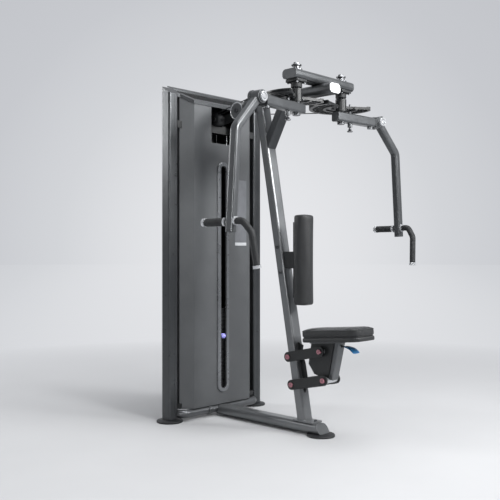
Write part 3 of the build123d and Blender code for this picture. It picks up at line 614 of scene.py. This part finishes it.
def chest_pad():
    """Upright cushion with rounded ends, held at its back and along its seam."""
    w, d = PAD_W - 3.0, PAD_T1 - PAD_T0 - 5.0
    tc = PAD_T0 + d / 2 + 0.5
    z0, z1 = PAD_Z0 + 2, PAD_Z1 - 2
    edge = [(z0, 10), (z0 + 1.2, 5.5), (z0 + 4, 2.2), (z0 + 9, 0.4), (z0 + 15, 0)]
    levels = edge + [(z0 + 40 + i * (z1 - z0 - 80) / 9, 0) for i in range(10)]
    levels += [(z0 + z1 - z, i) for z, i in edge[::-1]]
    v, f = loft_mesh(slab_rings(0, tc, levels, w, d, 34), 1.5, (0, 0, 1))
    o = new_piece("chest_cushion", v, f, "pad_leather", "frame", replaces=("chest_pad",))
    seam_t = PAD_T0 + 13.0

    def pin(p):
        t = MID - p.y / MM
        if t < PAD_T0 + 4:
            return 1.0
        return 0.75 if abs(t - seam_t) < 3.0 else 0.0
    upholstered(o, 0.006, 4.0, pin)


def seat_cushion():
    """Crowned upper cushion, firmer lower layer, the board between them and the piping."""
    tc = (SEAT_T0 + SEAT_T1) / 2
    w, d, r = SEAT_W, SEAT_T1 - SEAT_T0, 46.0
    z0, z1 = SEAT_TOP - 41.0, SEAT_TOP - 1.5
    up = [(z0, 5.0), (z0 + 1.0, 2.6), (z0 + 3.5, 1.6), (z0 + 9, 1.4), (z0 + 18, 1.4), (z0 + 27, 1.4),
          (z1 - 7, 1.8), (z1 - 3, 3.2), (z1 - 0.8, 6.0), (z1, 10.0), (z1 + 0.3, 24.0)]
    v, f = loft_mesh(slab_rings(0, tc, up, w, d, r), 0.0, (0, 0, 1))
    o = new_piece("seat_cushion", v, f, "pad_leather", "seat", replaces=("seat_pad",))

    def pin(p):
        z = p.z / MM
        return 1.0 if z < z0 + 4 else (0.6 if abs(z - (z1 - 9)) < 2.0 else 0.0)
    upholstered(o, 0.005, 3.5, pin)
    tip_up(o)
    b0, b1 = SEAT_TOP - 68.0, SEAT_TOP - 45.0
    low = [(b0, 9.0), (b0 + 0.8, 4.0), (b0 + 3, 1.2), (b0 + 7, 0.3), (b0 + 12, 0.0), (b0 + 17, 0.3),
           (b1 - 2.5, 1.2), (b1 - 0.6, 3.0), (b1, 6.0)]
    v, f = loft_mesh(slab_rings(0, tc, low, w, d, r), 0.0, (0, 0, 1))
    base = new_piece("seat_cushion_base", v, f, "pad_leather", "seat")
    tip_up(base)
    subdivide(base)
    gap = [(SEAT_TOP - 46.5, 8.0), (SEAT_TOP - 44.5, 7.0), (SEAT_TOP - 40.5, 7.0),
           (SEAT_TOP - 38.5, 8.0)]
    v, f = loft_mesh(slab_rings(0, tc, gap, w, d, r), 0.0, (0, 0, 1))
    tip_up(new_piece("seat_board", v, f, "recess_dark", "seat"))
    loop = [at(x, tc - y, z1 - 8.5) for x, y in rounded_rect(w - 2.4, d - 2.4, r, 10)]
    pts, _ = resample(loop + [loop[0]], 0.006)
    v, f = tube_mesh(pts[:-1], [1.3] * (len(pts) - 1), 8, closed=True)
    tip_up(new_piece("seat_cushion_piping", v, f, "thread_dark", "seat"))


# ---- hand grips ----
def grips():
    """Ribbed rubber sleeves: one straight and one curved grip on each swing arm."""
    for side, sg in SIDES:
        a, b = on_arm(GRIP_S, 42, GRIP_Z, sg), on_arm(GRIP_S, 160, GRIP_Z, sg)
        d = (b - a).normalized()
        prof = [(13.0, 0.4), (17.2, 0.5), (18.8, 2.0), (19.0, 7.0), (19.0, 11.0)]
        h = 13.0
        while h < 103:
            prof += [(19.0, h), (18.1, h + 0.7), (18.1, h + 1.5), (19.0, h + 2.2)]
            h += 5.2
        prof += [(19.0, 107.0), (19.0, 112.0), (18.4, 115.5), (17.0, 117.4), (13.0, 117.8)]
        lathe("straight_grip_sleeve_" + side, [(a, d, prof)], "rubber", "swing_" + side,
              replaces=("straight_grip_" + side,), segs=40)
        pts = [(GRIP_S, -30), (GRIP_S, -70), (GRIP_S - 12, -112), (GRIP_S - 32, -125)]
        zs = [GRIP_Z + 4, GRIP_Z + 4, GRIP_Z - 50, GRIP_Z - 200]
        path = smooth_path([on_arm(s, y, z, sg) for (s, y), z in zip(pts, zs)], 42, 10)
        mid, _ = resample(path, 0.0013)
        rad = []
        for i, p in enumerate(mid):
            k = i / (len(mid) - 1)
            groove = 0.8 if (k > 0.30 and k < 0.95 and i % 4 == 0) else 0.0
            end = max(0.0, 1 - min(k, 1 - k) * 40) * 2.5
            rad.append(16.4 - groove - end)
        v, f = tube_mesh(mid, rad, 28)
        soften(new_piece("curved_grip_sleeve_" + side, v, f, "rubber", "swing_" + side,
                         replaces=("curved_grip_" + side,)), 60)


# ---- fasteners ----
def hex_head(origin, direction, across, height, washer=True):
    """Hexagon head with its chamfer, on a washer."""
    r = across / 2 / cos(pi / 6)
    parts = []
    base = 0.0
    if washer:
        ring = [(r * 1.22, 0), (r * 1.25, 0.3), (r * 1.25, 1.3), (r * 1.18, 1.7)]
        parts.append((origin, direction, ring, 32))
        base = 1.7
    parts.append((origin, direction, [(r, base), (r, height - 1.1), (r * 0.86, height)], 6))
    parts.append((origin, direction, [(r * 0.55, height), (r * 0.50, height + 0.25)], 24))
    return parts


def socket_head(origin, direction, r, height):
    """Round cap with a rolled edge around a hexagon socket."""
    prof = [(r, 0), (r, height - 1.4), (r - 0.5, height - 0.4), (r - 1.6, height), (r * 0.56, height),
            (r * 0.50, height - 0.6), (r * 0.46, height - 3.2), (r * 0.2, height - 3.6)]
    return [(origin, direction, prof, 36)]


def fasteners():
    """Frame bolts, and the socket screws on the seat links."""
    parts = []
    for t in (678, 796):
        parts += hex_head(at(0, t, 72), (0, 0, 1), 16.5, 9.8)
    for sx in (-1, 1):
        for dx in (-30, 30):
            for dt in (-30, 30):
                parts += hex_head(at(sx * (PIV_X + dx), PIV_T + dt, 1842), (0, 0, -1), 10.0, 7.8, False)
        for t, z in ((up_t(1000), 1000), (up_t(862), 862)):
            parts += socket_head(at(sx * 37.5, t, z), (sx, 0, 0), 9.0, 7.0)
    for c in (RU, RL):
        pin = [(7.2, 0), (8.0, 0.8), (8.0, 118.2), (7.2, 119.0)]
        parts.append((at(-LINK_X1 - 3, *c), (1, 0, 0), pin, 32))
    lathe("bolt_heads", parts, "steel", "frame", replaces=("frame_bolts",))
    for name, body, node, ends in (("front_cap_screws", "seat", "front_bolt_caps", (FU, FL)),
                                   ("rear_cap_screws", "frame", "rear_bolt_caps", (RU, RL))):
        parts = []
        for c in ends:
            for sx in (-1, 1):
                parts += socket_head(at(sx * (LINK_X1 + 1.5), *c), (sx, 0, 0), 13.0, 8.0)
        lathe(name, parts, "red_cap", body, replaces=(node,))


def axle_stacks():
    """Turned bearing caps above the cross-bar and the axle below, with a hexagon nut on top."""
    parts = []
    for sx in (-1, 1):
        o = at(sx * PIV_X, PIV_T, BAR_TOP)
        up = (0, 0, 1)
        parts.append((o, up, [(31, 0), (31, 3.6), (29.6, 5.4), (19, 6.0), (18.2, 7.2), (18.2, 20.6),
                              (19.2, 22), (24.6, 22.2), (26, 23.6), (26, 28.6), (24.8, 30), (14, 30)], 48))
        for k in range(6):
            a = radians(60 * k + 30)
            p = o + Vector((cos(a) * 25.0, sin(a) * 25.0, 6.0)) * MM
            parts += hex_head(p, up, 6.5, 4.2, False)
        parts.append((o, up, [(15.9, 30), (15.9, 38.6), (13.6, 40.6), (7.5, 40.6), (7.0, 40.9)], 6))
        low = at(sx * PIV_X, PIV_T, 1672)
        foot = [(18.5, 0), (20, 1.4), (20, 8.6), (18.6, 10), (12.5, 10), (12.5, 232)]
        parts.append((low, up, foot, 40))
    lathe("pivot_axle_caps", parts, "steel", "frame", replaces=("arm_axles",))


def knobs():
    """The selector pin's handle, and the pull pins under the arms."""
    selector_z = 110.0 + 25.0 * 14.5 - 0.5      # stack foot, plate pitch times plates, less half a gap
    prof = [(8.0, 0), (9.5, 1.0), (12.5, 3.0), (14.6, 6.0), (15.0, 9.0), (15.0, 12.0), (14.2, 13.0),
            (14.2, 14.4), (15.0, 15.4), (15.0, 20.0), (14.6, 24.0), (12.6, 28.0), (9.0, 31.2),
            (4.5, 32.8), (1.0, 33.0)]
    lathe("selector_handle", [(at(0, 64, selector_z), (0, -1, 0), prof)], "violet_knob", "selector",
          replaces=("selector_knob",), segs=48)
    for side, sg in SIDES:
        o = on_arm(74, 0, 1638, sg)
        prof = [(9.0, 0.2), (13.6, 0.0), (15.0, 1.2), (15.0, 5.4), (13.8, 7.0), (9.6, 9.0), (8.0, 12.0),
                (9.0, 15.2), (8.6, 16.0), (6.0, 16.2), (6.0, 152.0), (4.6, 154.0)]
        lathe("pull_pin_" + side, [(o, (0, 0, 1), prof)], "steel", "pin_" + side,
              replaces=("lock_pin_" + side,), segs=40)


def lever():
    """Flat paddle that widens and droops towards its tip, on a thin rod."""
    rows = [(990.4, 487.0, 3.2, 12.0), (993, 487.0, 4.0, 17.0), (998, 486.8, 4.2, 21.0),
            (1010, 485.0, 4.4, 24.5), (1023, 482.6, 4.4, 27.0), (1035, 479.0, 4.4, 28.6),
            (1046, 472.4, 4.4, 29.2), (1055, 465.6, 4.4, 29.5), (1060, 460.8, 3.6, 28.6),
            (1062.6, 458.4, 2.2, 26.0)]                # t, z, half height, half width
    rings = []
    for t, z, h, w in rows:
        ring = []
        for i in range(20):
            a = 2 * pi * i / 20
            cx = (abs(cos(a)) ** 0.55) * (1 if cos(a) >= 0 else -1)
            cz = (abs(sin(a)) ** 0.7) * (1 if sin(a) >= 0 else -1)
            ring.append(at(w * cx, t, z + h * cz * (0.9 if cz > 0 else 0.7)))
        rings.append(ring)
    v, f = loft_mesh(rings)
    o = new_piece("lever_paddle", v, f, "blue_lever", "lever", replaces=("seat_lever",))
    subdivide(o, 2)
    lathe("lever_rod", [(at(0, 945, 486), (0, -1, 0), [(3.2, 0), (3.5, 0.5), (3.5, 48.0)]),
                        (at(-18, 945, 486), (1, 0, 0), [(4.4, 0), (5, 0.6), (5, 35.4), (4.4, 36)])],
          "steel", "lever", segs=20)


# ---- cables ----
def cables():
    """Lift cables above the stack, and the stretch that wraps each cam."""
    run, rows = LIFT_TOP_Z - CABLE_LOW_Z, 24
    prof = [(CABLE_R, 0)] + [(CABLE_R, h * run / rows) for h in range(1, rows + 1)]
    v, f = joined([lathe_mesh(at(sx * CABLE_X, 0, CABLE_LOW_Z), (0, 0, 1), prof, 14) for sx in (-1, 1)])
    o = new_piece("lift_cables", v, f, "cable_sheath", "frame", replaces=("stack_cables",))
    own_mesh(o)
    for side, sg in SIDES:
        def on_cam(deg, r=CAM_R):
            a = radians(deg)
            return Vector((sg * (PIV_X + r * cos(a)), MID - PIV_T - r * sin(a), CAM_Z)) * MM
        wrap = [on_cam(d) for d in range(-36, 31, 2)]
        v, f = tube_mesh(wrap, [CABLE_R + 0.12] * len(wrap), 12)
        new_piece("cam_wrap_" + side, v, f, "cable_sheath", "arm_" + side)
        tail = [on_cam(d) for d in range(10, 26, 2)]
        v, f = tube_mesh(tail, [CABLE_R - 0.05] * len(tail), 12)
        new_piece("cable_tail_" + side, v, f, "cable_sheath", "frame")
        e, e2 = on_cam(30), on_cam(31.5, CAM_R - 1.0)
        prof = [(3.4, -4.0), (4.6, -3.2), (4.6, 3.0), (3.6, 3.8)]
        lathe("cable_anchor_" + side, [(e, e2 - e, prof)], "steel", "arm_" + side, segs=20)


# ---- tower and frame dressing ----
def tower_details():
    """Ribbed insert in the tower's slanted top."""
    def top(x, t, drop):
        return at(x, t, TOP_Z0 - TOP_SLOPE * t - drop)
    outline = [(285, -47), (285, 11), (261, 11), (212, 60), (-212, 60), (-261, 11), (-285, 11),
               (-285, -47)]
    parts = [loft_mesh([[top(x, t, drop) for x, t in outline] for drop in (14.8, 13.2)])]
    for k in range(27):
        x = -273 + 21 * k
        front = min(56.0, 56.0 - (abs(x) + 3 - 208)) if abs(x) < 256 else 8.0
        r = [[top(a, t, drop) for a, t in ((x - 3, front), (x + 3, front), (x + 3, -42), (x - 3, -42))]
             for drop in (13.3, 9.0)]
        parts.append(loft_mesh(r))
    v, f = joined(parts)
    new_piece("top_vent_insert", v, f, "recess_dark", "frame", smooth=False)


def end_caps():
    """Plain white plate on the front end of the upper beam."""
    rr = rounded_rect(86, 50, 21, 8)
    rings = [[at(x * k, t, 1827 + y * k) for x, y in rr]
             for t, k in ((924.6, 1.0), (926.0, 1.0), (927.2, 0.97), (927.6, 0.9))]
    v, f = loft_mesh(rings, 0.4, (0, -1, 0))
    soften(new_piece("beam_front_badge", v, f, "cap_white", "frame"))


def idler_faces():
    """Bright rims on both faces of the idler pulley."""
    low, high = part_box("idler_pulley")
    prof = [(50.6, -1.0), (50.8, 0.6), (49.6, 1.2), (45.4, 1.2), (44.6, 0.3), (44.4, -0.5)]
    parts = []
    for sx in (-1, 1):
        o = Vector((sx * 27.0 * MM, (low.y + high.y) / 2, (low.z + high.z) / 2))
        parts.append((o, (sx, 0, 0), prof))
    lathe("idler_rims", parts, "chrome", "idler_body", segs=72)


def tower_dressing():
    """Dark strips in the gaps beside the columns, painted shade, and a plain information plate without any
    marks.
    """
    # dark strips between the columns and the covers: painted shade in the gaps
    v, f = joined([box_mesh(sx * 301 - 10, sx * 301 + 10, -5, 5, 70, 1880) for sx in (-1, 1)])
    new_piece("column_gap_shade", v, f, "recess_dark", "frame", smooth=False)
    v, f = box_mesh(*PLACARD_X, *PLACARD_T, 1032, 1413)
    new_piece("blank_placard", v, f, "placard_grey", "frame", smooth=False)
    v, f = box_mesh(*PLACARD_X, *PLACARD_T, 1014, 1032)
    new_piece("blank_placard_strip", v, f, "placard_pale", "frame", smooth=False)


def pivot_covers():
    """Black covers under the cross-bar, and ringed caps on the swing hinges."""
    parts = []
    for sg in (-1, 1):
        c = at(sg * PIV_X, PIV_T, 1843.5)
        parts.append((c, (0, 0, -1), [(29.2, 0.5), (29.4, 27.0), (27.8, 28.0), (14.0, 28.0)], 48))
        levels = [(1841.4, 1.6), (1842.2, 0.0), (1852.6, 0.0), (1853.6, 1.2)]
        v, f = loft_mesh(slab_rings(sg * PIV_X, PIV_T, levels, 85.0, 85.0, 11.0))
        soften(new_piece("hub_flange_" + ("right" if sg > 0 else "left"), v, f, "recess_dark", "frame"))
    lathe("hub_covers", parts, "recess_dark", "frame")
    rim = [(21.6, 0.5), (24.2, 0.8), (24.4, 9.6), (23.2, 10.9), (20.4, 10.9), (19.6, 10.0)]
    face = [(19.8, 9.0), (19.6, 10.3), (13.0, 10.6), (12.4, 10.0)]
    centre = [(12.2, 10.0), (12.0, 11.0), (9.0, 11.2), (5.0, 11.2), (4.6, 10.9)]
    for side, sg in SIDES:
        a = on_arm(HINGE_S, -31.5, HINGE_Z, sg)
        d = (on_arm(HINGE_S, -40, HINGE_Z, sg) - a).normalized()
        body = "swing_" + side
        lathe("hinge_cap_rim_" + side, [(a, d, rim)], "chrome", body, segs=48)
        lathe("hinge_cap_face_" + side, [(a, d, face)], "recess_dark", body, segs=48)
        lathe("hinge_cap_centre_" + side, [(a, d, centre)], "chrome", body, segs=36)


def sector_mesh(sg, r0, r1, z0, z1, a0, a1, n=40):
    """Flat ring sector about an arm pivot; angles in degrees run from sideways to the front."""
    rings = []
    for i in range(n + 1):
        a = radians(a0 + (a1 - a0) * i / n)
        rings.append([Vector((sg * (PIV_X + r * cos(a)), MID - PIV_T - r * sin(a), z)) * MM
                      for r, z in ((r0, z0), (r1, z0), (r1, z1), (r0, z1))])
    return loft_mesh(rings)


def cam_details():
    """Rolled flanges beside the cable groove, an index ring and bolts under each cam."""
    for side, sg in SIDES:
        parts = [sector_mesh(sg, 156, 175, z0, z1, -194, 31) for z0, z1 in ((1756, 1763.2), (1770.8, 1778))]
        parts.append(sector_mesh(sg, 84, 98, 1755, 1760.5, -194, 31))
        for deg in range(-186, 30, 12):
            parts.append(sector_mesh(sg, 98, 156, 1756.5, 1760.5, deg - 0.9, deg + 0.9, 1))
        v, f = joined(parts)
        soften(new_piece("cam_flanges_" + side, v, f, "black_paint", "arm_" + side))
        parts = []
        for k in range(8):
            a = radians(-188 + 30 * k)
            for r in (46, 140):
                p = Vector((sg * (PIV_X + r * cos(a)), MID - PIV_T - r * sin(a), 1760)) * MM
                parts += hex_head(p, (0, 0, -1), 9.0, 7.0)
        lathe("cam_bolts_" + side, parts, "steel", "arm_" + side)


def tower_lining():
    """Dark lining in front of the rear cover, so that the openings look into shade."""
    v, f = box_mesh(-286, 286, -61, -59, 90, 1880)
    new_piece("tower_lining", v, f, "recess_dark", "frame", smooth=False)


def feet():
    """Domed rubber discs under the columns and the upright."""
    prof = [(73.6, 0), (75, 1.2), (75, 8.6), (73.4, 10.6), (70.6, 11.4), (68.6, 10.2), (64.0, 10.2),
            (60.0, 11.6), (52.0, 13.4), (44.0, 14.0)]
    parts = [(at(x, t, 0), (0, 0, 1), prof, 72) for x, t in ((344.5, 0), (-344.5, 0), (0, 830))]
    lathe("foot_discs", parts, "black_plastic", "frame", replaces=("levelling_feet",))


chest_pad()
seat_cushion()
grips()
fasteners()
axle_stacks()
knobs()
lever()
cables()
tower_details()
end_caps()
idler_faces()
tower_dressing()
pivot_covers()
cam_details()
tower_lining()
feet()


# ---- studio ----
CAMERA_AT = (-3.10802, -2.808, 0.96926)
CAMERA_LENS, CAMERA_SHIFT = 54.06, 0.00564
GLOW_FROM = (-8.0, -7.8, 2.0)                   # fixed point behind the photo's camera, on its line of sight
FLOOR_RADIUS, FLOOR_SIDES = 60.0, 24
FADE_OVER = 12.0                                # metres; the floor turns into the backdrop's tone within it
LAMPS = (                                       # name, place, aim, size, power
    ("key", (2.2, -4.8, 3.4), (0, 0, 1.1), 1.8, 240),
    ("wash", (-0.5, -2.9, 2.9), (0.0, 0.45, 1.65), 0.8, 80),
    ("strip", (-4.4, -2.2, 1.9), (0, 0, 1.0), 0.6, 38),
    ("top", (0.2, -0.4, 4.8), (0, 0, 0.6), 3.0, 120),
    ("rim", (-2.4, 4.4, 2.6), (0, 0, 1.2), 1.4, 80),
)
GLOW = [(0.0, srgb(84, 85, 88)), (0.5, srgb(150, 152, 155)), (0.9, srgb(184, 186, 191)),
        (0.968, srgb(199, 201, 206)), (0.985, srgb(211, 213, 217)), (1.0, srgb(231, 232, 235))]


def backdrop_glow(nt, direction):
    """Pale where the photo's camera looks, greyer to the sides and dark behind it; fixed in the world."""
    facing = nt.nodes.new("ShaderNodeVectorMath")
    facing.operation = "DOT_PRODUCT"
    facing.inputs[1].default_value = (sin(VIEW_AZ), cos(VIEW_AZ), 0.0)
    nt.links.new(direction, facing.inputs[0])
    half = nt.nodes.new("ShaderNodeMath")
    half.operation = "MULTIPLY_ADD"
    half.inputs[1].default_value, half.inputs[2].default_value = 0.5, 0.5
    nt.links.new(facing.outputs["Value"], half.inputs[0])
    glow = nt.nodes.new("ShaderNodeValToRGB")
    while len(glow.color_ramp.elements) < len(GLOW):
        glow.color_ramp.elements.new(0.5)
    for e, (place, shade) in zip(glow.color_ramp.elements, GLOW):
        e.position, e.color = place, shade
    nt.links.new(half.outputs[0], glow.inputs[0])
    return glow.outputs[0]


def studio():
    """World light, and a floor that is matt near the machine and glows like the backdrop further out."""
    world = bpy.data.worlds.new("studio_world")
    bpy.context.scene.world = world
    world.use_nodes = True
    nt = world.node_tree
    bg = nt.nodes["Background"]
    sky = nt.nodes.new("ShaderNodeTexCoord").outputs["Generated"]
    nt.links.new(backdrop_glow(nt, sky), bg.inputs[0])
    bg.inputs[1].default_value = 1.0
    k = Mat("studio_floor")
    ln = k.node("ShaderNodeVectorMath", operation="LENGTH")
    k.link(k.co, ln.inputs[0])
    far = k.ramp(k.math("DIVIDE", ln.outputs["Value"], FADE_OVER), [(0.09, 0.0), (0.36, 1.0)])
    tone = k.ramp(k.noise(2.0, 3.0), [(0.3, (0.50, 0.505, 0.515, 1)), (0.7, (0.515, 0.52, 0.53, 1))])
    k.finish(tone, 0.75, **{"Specular IOR Level": 0.2})
    away = k.node("ShaderNodeVectorMath", operation="SUBTRACT")
    away.inputs[1].default_value = GLOW_FROM
    k.link(k.co, away.inputs[0])
    unit = k.node("ShaderNodeVectorMath", operation="NORMALIZE")
    k.link(away.outputs[0], unit.inputs[0])
    em = k.node("ShaderNodeEmission")
    k.link(backdrop_glow(k.nt, unit.outputs[0]), em.inputs[0])
    mixer = k.node("ShaderNodeMixShader")
    k.link(far, mixer.inputs[0])
    k.link(k.b.outputs[0], mixer.inputs[1])
    k.link(em.outputs[0], mixer.inputs[2])
    k.link(mixer.outputs[0], k.out.inputs[0])
    r, n = FLOOR_RADIUS, FLOOR_SIDES
    verts = [(0, 0, 0)] + [(r * cos(2 * pi * i / n), r * sin(2 * pi * i / n), 0) for i in range(n)]
    me = bpy.data.meshes.new("studio_floor")
    me.from_pydata(verts, [], [(0, i + 1, (i + 1) % n + 1) for i in range(n)])
    floor = bpy.data.objects.new("studio_floor", me)
    me.materials.append(k.m)
    bpy.context.scene.collection.objects.link(floor)


def lamp(name, place, aim, size, power):
    """Round area lamp pointed at a place."""
    data = bpy.data.lights.new(name, "AREA")
    data.shape, data.size, data.energy = "DISK", size, power
    o = bpy.data.objects.new(name, data)
    o.location = place
    o.rotation_mode = "QUATERNION"
    o.rotation_quaternion = (Vector(aim) - Vector(place)).to_track_quat("-Z", "Y")
    bpy.context.scene.collection.objects.link(o)


def camera():
    data = bpy.data.cameras.new("photo_camera")
    data.sensor_width, data.lens = 36.0, CAMERA_LENS
    data.shift_y = CAMERA_SHIFT
    cam = bpy.data.objects.new("photo_camera", data)
    cam.location = CAMERA_AT
    cam.rotation_euler = (radians(90), 0, -VIEW_AZ)
    bpy.context.scene.collection.objects.link(cam)
    bpy.context.scene.camera = cam


studio()
for row in LAMPS:
    lamp(*row)
camera()
bpy.context.scene.view_settings.view_transform = "Standard"
